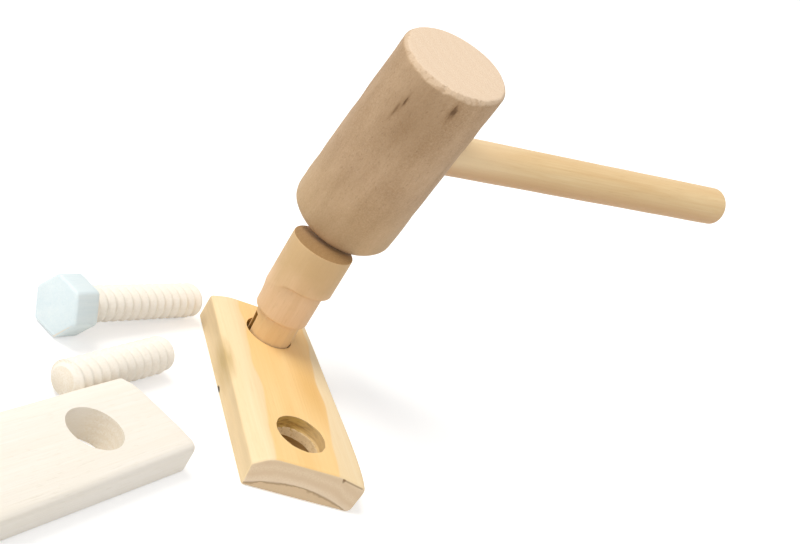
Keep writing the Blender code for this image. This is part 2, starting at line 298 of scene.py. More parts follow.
def end_grain(tree, mm, along, pith, colours, ring):
    """Colour of sawn end grain with rings of that spacing in mm, and the distance from the pith."""
    flat = [0.0 if axis == along else 1.0 for axis in "XYZ"]
    level = add(tree, "VectorMath", {0: mm, 1: flat}, operation="MULTIPLY")
    reach = spread_from(tree, level, pith, (1.0, 1.0, 1.0))
    shake = add(tree, "TexNoise", {"Vector": level, "Scale": SHAKE_PER_MM, "Detail": 2.0})
    bent = add(tree, "Math", {0: shake, 1: SHAKE_DEPTH, 2: reach}, operation="MULTIPLY_ADD")
    turns = add(tree, "Math", {0: bent, 1: 2.0 * math.pi / ring}, operation="MULTIPLY")
    wave = add(tree, "Math", {0: turns}, operation="SINE")
    specks = add(tree, "TexNoise", {"Vector": level, "Scale": END_PORES_PER_MM, "Detail": 4.0})
    colour = tinted(tree, linear(colours[0]), colours[1], wave, (-1.0, 1.0))
    return tinted(tree, colour, colours[2], specks, (0.4, 0.75)), reach


def sawn_across(tree, mm, colour, along, pith, colours, ring, span):
    """Lay end grain over a wood where its faces look along the grain."""
    sawn, _ = end_grain(tree, mm, along, pith, colours, ring)
    ends = facing(tree, along, *span)
    return add(tree, "Mix", {0: ends, 6: colour, 7: sawn}, data_type="RGBA")


print("growth rings are shaken by up to", SHAKE_DEPTH, "mm")

# %% [markdown]
# All these woods are bare or barely oiled, so they share a shader. Cellulose has an IOR of about 1.5. A
# sanded surface scatters most of its gloss, so the specular level lies under Blender's default of 0.5, and
# the roughness runs from 0.5 for a burnished dowel to 0.62 for fuzzy beech. The relief could be real mesh,
# but fibres of a few hundredths of a millimetre only need to bend the light, so they are a bump.

# %% From a wood's colour to its shader
WOOD_IOR = 1.5
DEFAULT_GLOSS = 0.5
WOOD_GLOSS = 0.3
RELIEF_STRENGTH = 0.6


def dress(material, colour, height, roughness, relief):
    """Join a wood's colour and relief to its shader; relief is the depth of the fibres in mm."""
    tree = material.node_tree
    shader = tree.nodes["Principled BSDF"]
    tree.links.new(colour, shader.inputs["Base Color"])
    shader.inputs["Roughness"].default_value = roughness
    shader.inputs["IOR"].default_value = WOOD_IOR
    shader.inputs["Specular IOR Level"].default_value = WOOD_GLOSS
    bump = add(tree, "Bump", {"Height": height, "Strength": RELIEF_STRENGTH, "Distance": relief * MM})
    tree.links.new(bump, shader.inputs["Normal"])
    print("finish", material.name, "has", len(tree.nodes), "nodes")
    return material


head_on = ((WOOD_IOR - 1.0) / (WOOD_IOR + 1.0)) ** 2 * WOOD_GLOSS / DEFAULT_GLOSS
print("seen head on, a wood mirrors", round(100.0 * head_on, 1), "% of the light")

# %% [markdown]
# The mallet leans on the peg, so it needs a frame of its own: Z runs up the barrel and X out along the
# handle. Its place could be typed in as numbers, but it follows from the peg: the rounded rim of the
# barrel's foot just clears the peg's top. Worked out here, it stays right if the peg changes.

# %% The mallet's place
HEAD_RADIUS_FOOT = 18.2
HEAD_RADIUS_FACE = 17.5
HEAD_LENGTH = 71.2
HEAD_FOOT_ROUND = 3.6
HEAD_LEAN = Vector((-0.052, -0.291, 0.955)).normalized()
HEAD_FOOT_OFFSET = Vector((8.6, 15.1))
HANDLE_WAY = Vector((0.971, 0.207, 0.116))
TENON_SHOWN = 8.5
WAIST_HEIGHT = 13.2
CAP_HEIGHT = 15.0


def mallet_place():
    out = (HANDLE_WAY - HEAD_LEAN * HANDLE_WAY.dot(HEAD_LEAN)).normalized()
    side = HEAD_LEAN.cross(out)
    slope = math.sqrt(1.0 - HEAD_LEAN.z ** 2)
    drop = (HEAD_RADIUS_FOOT - HEAD_FOOT_ROUND) * slope + HEAD_FOOT_ROUND * (1.0 - HEAD_LEAN.z)
    peg_top = BOARD_THICKNESS + TENON_SHOWN + WAIST_HEIGHT + CAP_HEIGHT
    place = Matrix((out, side, HEAD_LEAN)).transposed().to_4x4()
    foot = HEAD_FOOT_OFFSET + Vector((0.0, HOLE_SPACING / 2.0))
    place.translation = (foot.x, foot.y, peg_top + SEAT_GAP + drop)
    return place


mallet = mallet_place()
print("mallet foot at", [round(value, 2) for value in mallet.translation])

# %% [markdown]
# The barrel is beech, turned and sanded. Sanding lifts short fibres, so the tan side looks soft and finely
# mottled, with no clear highlight, and it pales towards the foot. The sawn face is paler and pinker, and its
# rim is bruised by blows. Slivers of bark stayed in the side, in a duller patch. They could be cut into the
# mesh, but they lie flush, so they are tints around spots given in the mallet's frame. The fuzz is drawn at
# half a millimetre, coarser than real fibre tips, so that it shows.

# %% Turned and sanded beech for the barrel
FUZZ_PER_MM = 1.9
DULL_PATCH = (-12.0, -12.5, 59.0)
DULL_PATCH_SIZE = (9.0, 9.0, 15.0)
FOOT_FADE = (30.0, 4.0)
# Each sliver has a place, a length, a width and a strength.
BARK_SLIVERS = (
    ((-15.5, -8.8, 60.0), 6.4, 1.1, 0.8),
    ((-16.1, -7.9, 56.2), 7.0, 1.2, 0.4),
    ((-5.2, -17.1, 65.8), 6.5, 2.4, 0.85),
)
BARK_STREAKS_PER_MM = (1.2, 1.2, 0.3)
BARK_RAGGEDNESS = 1.6
BARREL_PITH = (31.0, 12.0, 0.0)
DENTS_PER_MM = 0.8


def with_bark(tree, mm, colour):
    """Ragged dark slivers of bark, each in a browner stain."""
    streaky = add(tree, "VectorMath", {0: mm, 1: BARK_STREAKS_PER_MM}, operation="MULTIPLY")
    ragged = add(tree, "TexNoise", {"Vector": streaky, "Scale": 1.0, "Detail": 3.0})
    for spot, length, width, strength in BARK_SLIVERS:
        reach = spread_from(tree, mm, spot, (width / 2.0, width / 2.0, length / 2.0))
        edge = add(tree, "Math", {0: ragged, 1: BARK_RAGGEDNESS, 2: reach}, operation="MULTIPLY_ADD")
        colour = tinted(tree, colour, "93704a", edge, (2.6, 1.4), strength=0.5)
        colour = tinted(tree, colour, "5c3f24", edge, (1.8, 1.2), strength)
    return colour


def turned_beech():
    material, tree = new_material("turned_beech")
    mm, colour, relief = long_grain(tree, "Z", ("c8a987", "ab8b68", "a98866", "8a6848"), band=(9.0, 26.0),
                                    fibre=(0.7, 3.0), pore=(0.5, 1.4), pores=0.35, lines=0.3)
    fuzz = add(tree, "TexNoise", {"Vector": mm, "Scale": FUZZ_PER_MM, "Detail": 3.0})
    colour = tinted(tree, colour, "d2b696", fuzz, (0.4, 0.72), strength=0.45)
    patch = spread_from(tree, mm, DULL_PATCH, DULL_PATCH_SIZE)
    colour = tinted(tree, colour, "92714d", patch, (1.4, 0.4), strength=0.4)
    up = add(tree, "SeparateXYZ", {0: mm}, out="Z")
    colour = tinted(tree, colour, "d6b88c", up, FOOT_FADE, strength=0.4)
    colour = with_bark(tree, mm, colour)
    scuffs = add(tree, "MapRange", {0: fuzz, 1: 0.35, 2: 0.65, 3: 0.6, 4: 1.0})
    rim = facing(tree, "Z", low=0.15, high=0.7)
    worn = add(tree, "Math", {0: rim, 1: scuffs}, operation="MULTIPLY")
    colour = tinted(tree, colour, "d4b898", worn, (0.0, 1.0))
    colour = sawn_across(tree, mm, colour, "Z", BARREL_PITH, ("edd6bc", "ebd3b8", "e4c8ab"),
                         ring=4.6, span=(0.58, 0.97))
    dents = add(tree, "TexNoise", {"Vector": mm, "Scale": DENTS_PER_MM, "Detail": 3.0})
    slanting = facing(tree, "Z", low=0.98, high=0.92)
    colour = tinted(tree, colour, "b39270", dents, (0.52, 0.66), strength=0.6, within=(worn, slanting))
    return dress(material, colour, relief, roughness=0.62, relief=0.08)


beech = turned_beech()

# %% [markdown]
# The barrel tapers a little towards its striking face. The foot has an even round. The rim of the face was
# once a narrow bevel, and blows have worn it wide, round and chipped on one side. The face was sawn a little
# out of square, so the top is lifted by up to 1.2 mm towards one side. A Bevel modifier makes one even
# width, so the wear is worked out in the profile, angle by angle.

# %% The barrel
MIDDLE_RING = 0.5
FACE_RINGS = (6.0, 11.0)
RIM_ROUND = 1.1
SHOULDER_ROUND = 1.1
SHOULDER_TURN = 45.0
RIM_TURN = 50.0
FRESH_BEVEL = 0.2
WORN_BEVEL = 1.3
WEAR_TURN = -128.0
CHIP_DEPTH = 0.9
# Chips come in two sizes: waves to a radian, and their share of the depth.
CHIP_WAVES = ((4.0, 1.0), (11.0, 0.6))
FACE_SLANT = 1.2
FACE_SLANT_TURN = -75.0
BARREL_STEPS = 24
HANDLE_RADIUS_HEAD = 6.8
HANDLE_SOCKET_DEPTH = 27.0
HANDLE_TURN = Matrix.Translation((0.0, 0.0, HEAD_LENGTH / 2.0)) @ Matrix.Rotation(math.radians(90.0), 4, "Y")


def rim_wear(angle):
    """Width of the bevel round the striking face; it is widest where the mallet strikes first."""
    struck = 0.5 + 0.5 * math.cos(angle - math.radians(WEAR_TURN))
    spot = Vector((math.cos(angle), math.sin(angle), 0.0))
    chips = sum(share * noise.noise(spot * waves) for waves, share in CHIP_WAVES)
    return FRESH_BEVEL + (WORN_BEVEL - FRESH_BEVEL) * struck ** 3 + CHIP_DEPTH * struck ** 2 * chips


def barrel_profile(angle):
    """Barrel from the middle of its foot to the middle of its face."""
    wear = rim_wear(angle)
    rings = (MIDDLE_RING, *FACE_RINGS)
    profile = [(radius, 0.0) for radius in rings]
    profile += arc(HEAD_RADIUS_FOOT - HEAD_FOOT_ROUND, HEAD_FOOT_ROUND, HEAD_FOOT_ROUND, -90.0, 0.0)
    shoulder = HEAD_LENGTH - wear - SHOULDER_ROUND
    for i in range(1, BARREL_STEPS):
        share = i / BARREL_STEPS
        radius = HEAD_RADIUS_FOOT + (HEAD_RADIUS_FACE - HEAD_RADIUS_FOOT) * share
        profile.append((radius, HEAD_FOOT_ROUND + (shoulder - HEAD_FOOT_ROUND) * share))
    profile += arc(HEAD_RADIUS_FACE - SHOULDER_ROUND, shoulder, SHOULDER_ROUND, 0.0, SHOULDER_TURN, 6)
    inner = HEAD_RADIUS_FACE - wear - RIM_ROUND
    profile += arc(inner, HEAD_LENGTH - RIM_ROUND, RIM_ROUND, RIM_TURN, 90.0, 4)
    profile += [(radius, HEAD_LENGTH) for radius in reversed(rings)]
    lift = FACE_SLANT * math.cos(angle - math.radians(FACE_SLANT_TURN)) / HEAD_RADIUS_FACE
    return [(radius, height + lift * radius * (height / HEAD_LENGTH) ** 3) for radius, height in profile]


def barrel():
    thing = mesh_object(turned(barrel_profile, sides=180, uneven=0.22, grit=7.0), "mallet_barrel")
    radius = HANDLE_RADIUS_HEAD + SEAT_GAP
    bore = [(radius, HEAD_RADIUS_FOOT - HANDLE_SOCKET_DEPTH), (radius, HEAD_RADIUS_FOOT + CUT_OVERRUN)]
    socket = turned(lambda angle: bore, sides=96)
    bmesh.ops.transform(socket, matrix=HANDLE_TURN, verts=socket.verts)
    cut_away(thing, [socket])
    finish_piece(thing, mallet, beech, "mallet", "mallet_head", sharp=40.0)


barrel()

# %% [markdown]
# The handle is a maple dowel, planed round and sanded along its length. Maple's pores are tiny, so it looks
# even, pale and yellowish, with long faint lines and a soft sheen. Beside the head it is painted lighter, as
# painted light over the shadow that the barrel casts there, and its lower side is painted darker as shade.
# The shade could be a band of the grain noise, but it has to stay in one place, so it is a tint that grows
# with the depth below the dowel's axis.

# %% Sanded maple for the handle
HEAD_SIDE_LIGHT_REACH = (55.0, 20.0)
UNDERSIDE_SHADE_WAY = (0.0, -0.78, -0.62)
UNDERSIDE_SHADE_DEPTH = (2.8, 6.2)
HANDLE_PITH = (0.0, 3.0, 0.0)


def maple_dowel():
    material, tree = new_material("maple_dowel")
    mm, colour, relief = long_grain(tree, "X", ("eccf9f", "e3c08d", "d8b07a", "bc935c"), band=(4.0, 40.0),
                                    fibre=(0.5, 40.0), pore=(0.4, 7.0), pores=0.15, lines=0.25)
    out = add(tree, "SeparateXYZ", {0: mm}, out="X")
    # Painted light: the handle is lighter beside the head, where the barrel casts its shadow.
    colour = tinted(tree, colour, "fbe3bd", out, HEAD_SIDE_LIGHT_REACH, strength=0.55)
    axis = (0.0, 0.0, HEAD_LENGTH / 2.0)
    centred = add(tree, "VectorMath", {0: mm, 1: axis}, operation="SUBTRACT")
    depth = add(tree, "VectorMath", {0: centred, 1: UNDERSIDE_SHADE_WAY}, operation="DOT_PRODUCT")
    # Painted shade: the handle darkens along its lower side, away from the light.
    colour = tinted(tree, colour, "bc8f62", depth, UNDERSIDE_SHADE_DEPTH, strength=0.7)
    colour = sawn_across(tree, mm, colour, "X", HANDLE_PITH, ("ecd0a0", "dfbd8a", "cda877"),
                         ring=1.6, span=(0.6, 0.85))
    return dress(material, colour, relief, roughness=0.5, relief=0.06)


maple = maple_dowel()

# %% [markdown]
# The handle is glued into a blind socket in the barrel's side, swells by a tenth of a millimetre towards the
# grip and ends in a round. A cylinder with a bevel would nearly do, but spinning a profile gives the taper,
# the chamfered root and the sanded unevenness in one go. It is spun about Z and then laid along X.

# %% The handle
HANDLE_RADIUS_GRIP = 6.9
HANDLE_REACH = 150.0
HANDLE_END_ROUND = 2.5
HANDLE_ROOT_CHAMFER = 1.0
HANDLE_END_RINGS = (2.0, 0.4)
HANDLE_STEPS = 30


def handle():
    root = HEAD_RADIUS_FOOT - HANDLE_SOCKET_DEPTH + SEAT_GAP
    profile = [(MIDDLE_RING, root), (HANDLE_RADIUS_HEAD - HANDLE_ROOT_CHAMFER, root),
               (HANDLE_RADIUS_HEAD, root + HANDLE_ROOT_CHAMFER)]
    straight = HANDLE_REACH - HANDLE_END_ROUND
    for i in range(HANDLE_STEPS):
        share = i / HANDLE_STEPS
        radius = HANDLE_RADIUS_HEAD + (HANDLE_RADIUS_GRIP - HANDLE_RADIUS_HEAD) * share
        profile.append((radius, HEAD_RADIUS_FOOT + (straight - HEAD_RADIUS_FOOT) * share))
    profile += arc(HANDLE_RADIUS_GRIP - HANDLE_END_ROUND, straight, HANDLE_END_ROUND, 0.0, 90.0)
    profile += [(radius, HANDLE_REACH) for radius in HANDLE_END_RINGS]
    maker = turned(lambda angle: profile, sides=96, uneven=0.1, grit=14.0)
    bmesh.ops.transform(maker, matrix=HANDLE_TURN, verts=maker.verts)
    thing = mesh_object(maker, "mallet_dowel")
    finish_piece(thing, mallet, maple, "mallet", "mallet_handle", sharp=40.0)


handle()

# %% [markdown]
# The peg is birch, turned with a sharp tool, so its steps are crisp and its pale side nearly smooth. Use has
# dulled the cap in smudges and the tenon has yellowed. Its top is painted dark brown as the shade that the
# barrel casts on it, and the walls of the kerf are painted brown as shade in the slit. Each could be a
# material of its own on picked faces, but smudges have no edge to pick, so all are tints that follow the
# height on the peg or the distance from the kerf.

# %% Turned birch for the peg
TENON_ENGAGED = 4.0
KERF_WIDTH = 2.4
KERF_ROOF = 2.6
KERF_TOP = TENON_ENGAGED + TENON_SHOWN - KERF_ROOF
KERF_SHADE_SPAN = (KERF_WIDTH / 2.0 + 0.1, KERF_WIDTH / 2.0 + 0.05)
SMUDGES_PER_MM = 0.11
SMUDGE_DEPTH = 22.0
SMUDGE_SPAN = (31.0, 46.0)
YELLOWED_SPAN = (14.0, 10.0)
PEG_PITH = (5.0, -9.0, 0.0)


def turned_birch():
    material, tree = new_material("turned_birch")
    mm, colour, relief = long_grain(tree, "Z", ("f4d1ab", "ecc69c", "deb586", "b58f5e"), band=(6.0, 60.0),
                                    fibre=(0.5, 18.0), pore=(0.4, 4.0), pores=0.12, lines=0.2)
    parts = add(tree, "SeparateXYZ", {0: mm}).node.outputs
    smudge = add(tree, "TexNoise", {"Vector": mm, "Scale": SMUDGES_PER_MM, "Detail": 3.0})
    soiled = add(tree, "Math", {0: smudge, 1: SMUDGE_DEPTH, 2: parts["Z"]}, operation="MULTIPLY_ADD")
    colour = tinted(tree, colour, "cfae7d", soiled, SMUDGE_SPAN, strength=0.8, least=0.1)
    colour = tinted(tree, colour, "e8c486", parts["Z"], YELLOWED_SPAN, strength=0.5)
    # Painted shade: faces that look up or down, the top among them, are dark brown because the barrel shades
    # the top.
    colour = sawn_across(tree, mm, colour, "Z", PEG_PITH, ("ae8c61", "aa875c", "a07d53"),
                         ring=1.8, span=(0.8, 0.95))
    # Painted shade: the walls of the kerf are darker brown, as shade inside the slit.
    off_kerf = add(tree, "Math", {0: parts["Y"]}, operation="ABSOLUTE")
    below = add(tree, "Math", {0: parts["Z"], 1: KERF_TOP}, operation="LESS_THAN")
    colour = tinted(tree, colour, "b8883f", off_kerf, KERF_SHADE_SPAN, strength=0.9, within=(below,))
    return dress(material, colour, relief, roughness=0.55, relief=0.06)


birch = turned_birch()

# %% [markdown]
# The peg has three steps: a cap, a waist and a tenon. The cap was turned a little off the waist's axis, and
# its shoulder runs askew down one side. The tenon is whittled into narrow flats, and a saw kerf splits it,
# so that one tongue springs in as it enters the hole. Three stacked cylinders would lose all of this, so
# one profile is worked out for each angle and only the kerf is cut afterwards.

# %% The split peg
TENON_RADIUS = PEG_HOLE_RADIUS - SEAT_GAP
WAIST_RADIUS = 9.2
CAP_RADIUS = 10.6
PEG_ROUND = 0.9
TOP_ROUND = 0.25
TENON_FLATS = 15
TONGUE_SPRING = 0.8
TONGUE_TURN = 168.0
SHOULDER_SKEW = 4.6
SHOULDER_SLOPE = 2.4
SHOULDER_FADE = 3.2
SKEW_TURN = 152.0
CAP_OFFSET = 0.6
OFFSET_TURN = -17.0
TOP_RING = 6.0
PEG_STEPS = 5
WAIST_FOOT = TENON_ENGAGED + TENON_SHOWN
CAP_FOOT = WAIST_FOOT + WAIST_HEIGHT
PEG_TOP = CAP_FOOT + CAP_HEIGHT


def tenon_profile(angle):
    """Whittled tenon from the middle of its foot to the waist; one tongue springs in at the foot."""
    flat = 2.0 * math.pi / TENON_FLATS
    tenon = TENON_RADIUS * math.cos(flat / 2.0) / math.cos(angle % flat - flat / 2.0)
    sprung = max(0.0, math.cos(angle - math.radians(TONGUE_TURN))) ** 2
    foot = tenon - TONGUE_SPRING * sprung
    rim = PEG_ROUND / 2.0
    profile = [(MIDDLE_RING, 0.0), (foot - rim, 0.0), (foot, rim)]
    for i in range(1, PEG_STEPS + 1):
        share = i / PEG_STEPS
        profile.append((foot + (tenon - foot) * share ** 2, WAIST_FOOT * share))
    return profile


def peg_profile(angle):
    """Peg from foot to top; where the shoulder runs askew, the waist flares into the cap."""
    skew = max(0.0, math.cos(angle - math.radians(SKEW_TURN))) ** 1.5
    merged = min(1.0, SHOULDER_FADE * skew)
    shoulder = CAP_FOOT - SHOULDER_SKEW * skew
    slope = PEG_ROUND + SHOULDER_SLOPE * skew
    cap_radius = CAP_RADIUS + CAP_OFFSET * math.cos(angle - math.radians(OFFSET_TURN))
    profile = tenon_profile(angle)
    profile += arc(WAIST_RADIUS - PEG_ROUND, WAIST_FOOT + PEG_ROUND, PEG_ROUND, -90.0, 0.0)
    for i in range(2, PEG_STEPS + 1):
        share = i / PEG_STEPS
        flare = (cap_radius - WAIST_RADIUS) * merged * share ** 2
        profile.append((WAIST_RADIUS + flare, WAIST_FOOT + (shoulder - WAIST_FOOT) * share))
    for i in range(ROUND_STEPS + 1):
        quarter = math.radians(90.0 * i / ROUND_STEPS)
        radius = cap_radius - PEG_ROUND * (1.0 - merged) * (1.0 - math.sin(quarter))
        profile.append((radius, shoulder + slope * (1.0 - math.cos(quarter))))
    cap_side = shoulder + slope
    for i in range(1, PEG_STEPS + 1):
        profile.append((cap_radius, cap_side + (PEG_TOP - cap_side) * i / (PEG_STEPS + 1)))
    profile += arc(cap_radius - TOP_ROUND, PEG_TOP - TOP_ROUND, TOP_ROUND, 0.0, 90.0)
    return profile + [(TOP_RING, PEG_TOP), (MIDDLE_RING, PEG_TOP)]


def peg():
    thing = mesh_object(turned(peg_profile, sides=128, uneven=0.07, grit=5.0), "peg_body")
    kerf = bmesh.new()
    bmesh.ops.create_cube(kerf, size=1.0)
    size = (4.0 * TENON_RADIUS, KERF_WIDTH, KERF_TOP + CUT_OVERRUN)
    bmesh.ops.scale(kerf, vec=size, verts=kerf.verts)
    bmesh.ops.translate(kerf, vec=(0.0, 0.0, (KERF_TOP - CUT_OVERRUN) / 2.0), verts=kerf.verts)
    cut_away(thing, [kerf])
    place = Matrix.Translation((0.0, HOLE_SPACING / 2.0, BOARD_THICKNESS - TENON_ENGAGED))
    finish_piece(thing, place, birch, "peg", "split_peg", sharp=35.0)


peg()

# %% [markdown]
# A board is sawn flat, and its two upper edges are chamfered with a plane. The chamfers taper along the
# board and wander slightly, and the drilled board's right edge bulges, so a box with a Bevel modifier would
# look too true. Instead the board is lofted: an outline of six corners is worked out at each place along
# it, and its corners are softened into curves.

# %% A board's outline
LEFT_CHAMFER_RUN = 5.6
RIGHT_CHAMFER_RUN = 7.4
LEFT_CHAMFER_DROPS = (3.4, 1.6)
RIGHT_CHAMFER_DROPS = (1.7, 0.5)
RIGHT_FLARE_NEAR = 1.4
BULGE_SKEW = 0.45
EDGE_DRIFT = 0.25
DRIFT_WAVES = 3.0
DRIFT_APART = 7.0
CORNER_SOFTNESS = (0.7, 1.6, 2.6, 2.6, 2.6, 0.9)
CORNER_STEPS = 6


def board_section(width, share, seed, bulge):
    """Corners of a board's outline at a share of its length, 0 near and 1 far."""
    half = width / 2.0
    spots = [Vector((share * DRIFT_WAVES, seed, k * DRIFT_APART)) for k in range(4)]
    drift = [EDGE_DRIFT * noise.noise(spot) for spot in spots]
    left_drop = LEFT_CHAMFER_DROPS[0] + (LEFT_CHAMFER_DROPS[1] - LEFT_CHAMFER_DROPS[0]) * share
    right_drop = RIGHT_CHAMFER_DROPS[0] + (RIGHT_CHAMFER_DROPS[1] - RIGHT_CHAMFER_DROPS[0]) * share
    flare = RIGHT_FLARE_NEAR * (1.0 - share) + bulge * math.sin(math.pi * share ** BULGE_SKEW)
    return [
        (-half, 0.0),
        (half, 0.0),
        (half + flare + drift[0], BOARD_THICKNESS - right_drop),
        (half - RIGHT_CHAMFER_RUN + drift[1], BOARD_THICKNESS),
        (-half + LEFT_CHAMFER_RUN + drift[2], BOARD_THICKNESS),
        (-half, BOARD_THICKNESS - left_drop + drift[3]),
    ]


def shrunk(corners, inset):
    """Corners of a convex outline moved in by an inset from every side."""
    lines = []
    for (x0, z0), (x1, z1) in zip(corners, corners[1:] + corners[:1]):
        way = Vector((x1 - x0, z1 - z0)).normalized()
        lines.append((Vector((x0, z0)) + Vector((-way.y, way.x)) * inset, way))
    moved = []
    for (start, way), (other, other_way) in zip(lines[-1:] + lines[:-1], lines):
        gap = other - start
        along = (gap.x * other_way.y - gap.y * other_way.x) / (way.x * other_way.y - way.y * other_way.x)
        moved.append(start + way * along)
    return moved


def softened(corners):
    """Outline with each corner drawn as a short curve."""
    points = []
    for i, corner in enumerate(corners):
        soft = CORNER_SOFTNESS[i]
        before = corner + (corners[i - 1] - corner).normalized() * soft
        after = corner + (corners[(i + 1) % len(corners)] - corner).normalized() * soft
        for k in range(CORNER_STEPS + 1):
            u = k / CORNER_STEPS
            points.append(before * (1 - u) ** 2 + corner * 2 * u * (1 - u) + after * u * u)
    return points


print("an outline has", len(CORNER_SOFTNESS) * (CORNER_STEPS + 1), "points")

# %% [markdown]
# The near hole of the drilled board was bored from both faces, and the two bores leave a narrower collar
# with torn slopes halfway down, which grips a peg. The other holes are plain. A hole could be built into the
# loft, but a turned tool and a Boolean cut are simpler and leave a crisp rim, as a drill does.

# %% Tools for the holes
COLLAR_RADIUS = 7.5
COLLAR_LOW = 3.6
COLLAR_HIGH = 6.5
COLLAR_SLOPE = 1.6
BORE_STEPS = 40


def plain_bore():
    bore = [(PEG_HOLE_RADIUS, -CUT_OVERRUN), (PEG_HOLE_RADIUS, BOARD_THICKNESS + CUT_OVERRUN)]
    return turned(lambda angle: bore, sides=96)


def collared_bore():
    bore = [(PEG_HOLE_RADIUS, -CUT_OVERRUN)]
    for i in range(BORE_STEPS + 1):
        height = BOARD_THICKNESS * i / BORE_STEPS
        outside = max(COLLAR_LOW - height, height - COLLAR_HIGH, 0.0)
        bore.append((min(PEG_HOLE_RADIUS, COLLAR_RADIUS + outside * COLLAR_SLOPE), height))
    bore.append((PEG_HOLE_RADIUS, BOARD_THICKNESS + CUT_OVERRUN))
    return turned(lambda angle: bore, sides=120, uneven=0.15, grit=1.6)


print("the collar narrows the hole to", 2.0 * COLLAR_RADIUS, "mm")

# %% [markdown]
# The outlines are set along the board's length and skinned. A Bevel modifier could round the rims of the
# sawn ends, but it would round the holes too, so the outlines shrink a little at both ends instead. The near
# end slants, because the saw was not quite upright, and the slant fades within a few millimetres.

# %% From outlines to a board
END_ROUND = 0.8
END_STEPS = 6
BOARD_SPANS = 28
NEAR_END_SLANT = 1.8
SLANT_FADE = 6


def stations(half):
    """Places along a board of that half length, each with how far its outline is drawn in."""
    near = []
    for k in range(END_STEPS + 1):
        angle = math.radians(90.0 * k / END_STEPS)
        near.append((-half + END_ROUND * (1.0 - math.cos(angle)), END_ROUND * (1.0 - math.sin(angle))))
    inner = half - END_ROUND
    middle = [(-inner + 2.0 * inner * k / BOARD_SPANS, 0.0) for k in range(1, BOARD_SPANS)]
    far = [(-y, inset) for y, inset in reversed(near)]
    return near + middle + far


def board(name, width, margin, seed, bulge, near_tool, far_tool):
    """Board whose holes stand half their spacing from its middle and margin from its ends."""
    half = HOLE_SPACING / 2.0 + margin
    rings = []
    for y, inset in stations(half):
        section = softened(shrunk(board_section(width, (y + half) / (2.0 * half), seed, bulge), inset))
        slant = NEAR_END_SLANT * max(0.0, -y / half) ** SLANT_FADE
        rings.append([(spot.x, y - slant * (1.0 - spot.y / BOARD_THICKNESS), spot.y) for spot in section])
    thing = mesh_object(skin(rings), name)
    for tool, y in ((near_tool, -HOLE_SPACING / 2.0), (far_tool, HOLE_SPACING / 2.0)):
        bmesh.ops.translate(tool, vec=(0.0, y, 0.0), verts=tool.verts)
    cut_away(thing, [near_tool, far_tool])
    return thing


print("a board is lofted over", BOARD_SPANS + 2 * END_STEPS + 1, "outlines")

# %% [markdown]
# The drilled board is larch, sawn near the outside of a small trunk: orange heartwood runs along its middle
# between edges of cream sapwood, and the border wanders. Two pieces of wood glued together would meet in a
# straight line, so the heartwood is a mask across one board instead. Each border is a line in millimetres
# across the board, shifted by slow noise along its length.

# %% Heartwood between sapwood edges
HEART_LEFT = -9.9
HEART_LEFT_SLOPE = 0.037
HEART_RIGHT = 13.3
HEART_RIGHT_SLOPE = 0.085
HEART_WANDER = 2.4
WANDERS_PER_MM = 0.04
BORDER_SPAN = (-0.5, 0.6)


def heartwood_mask(tree, mm):
    """1 on the orange middle and 0 on the sapwood edges, with a border that wanders along the board."""
    parts = add(tree, "SeparateXYZ", {0: mm}).node.outputs
    wander = add(tree, "TexNoise", {"W": parts["Y"], "Scale": WANDERS_PER_MM, "Detail": 1.0},
                 noise_dimensions="1D")
    shift = add(tree, "MapRange", {0: wander, 3: -HEART_WANDER, 4: HEART_WANDER})
    across = add(tree, "Math", {0: parts["X"], 1: shift}, operation="ADD")
    masks = []
    for side, slope, sign in ((HEART_LEFT, HEART_LEFT_SLOPE, 1.0), (HEART_RIGHT, HEART_RIGHT_SLOPE, -1.0)):
        border = add(tree, "Math", {0: parts["Y"], 1: slope, 2: side}, operation="MULTIPLY_ADD")
        inside = add(tree, "Math", {0: across, 1: border}, operation="SUBTRACT")
        masks.append(add(tree, "MapRange",
                         {0: inside, 1: BORDER_SPAN[0] * sign, 2: BORDER_SPAN[1] * sign},
                         interpolation_type="SMOOTHSTEP"))
    return add(tree, "Math", {0: masks[0], 1: masks[1]}, operation="MULTIPLY")


print("heartwood is", round(HEART_RIGHT - HEART_LEFT, 1), "mm wide halfway along the board")

# %% [markdown]
# The board's left side has weathered greyer in patches, and the patches are painted stronger towards the
# ridge above it, as shade near the ridge. It is stained brown along the ridge and has one dark splinter at
# its foot.
# Painted vertex colours could show that, but only as finely as the mesh is cut, so noise decides it. The
# noise is stretched along the board, because water creeps along the grain.

# %% Weathered and shaded left edge
EDGE_PATCHES_PER_MM = (0.5, 0.06, 0.5)
SIDE_SHADE_RISE = (3.0, 8.0)
RIDGE_STAIN = (-18.0, 7.0, 6.0)
RIDGE_STAIN_SIZE = (2.6, 13.0, 6.0)
STAIN_RAGGEDNESS = 1.4
SPLINTER = (-18.1, 0.0, 0.6)
SPLINTER_SIZE = (1.0, 2.0, 1.0)


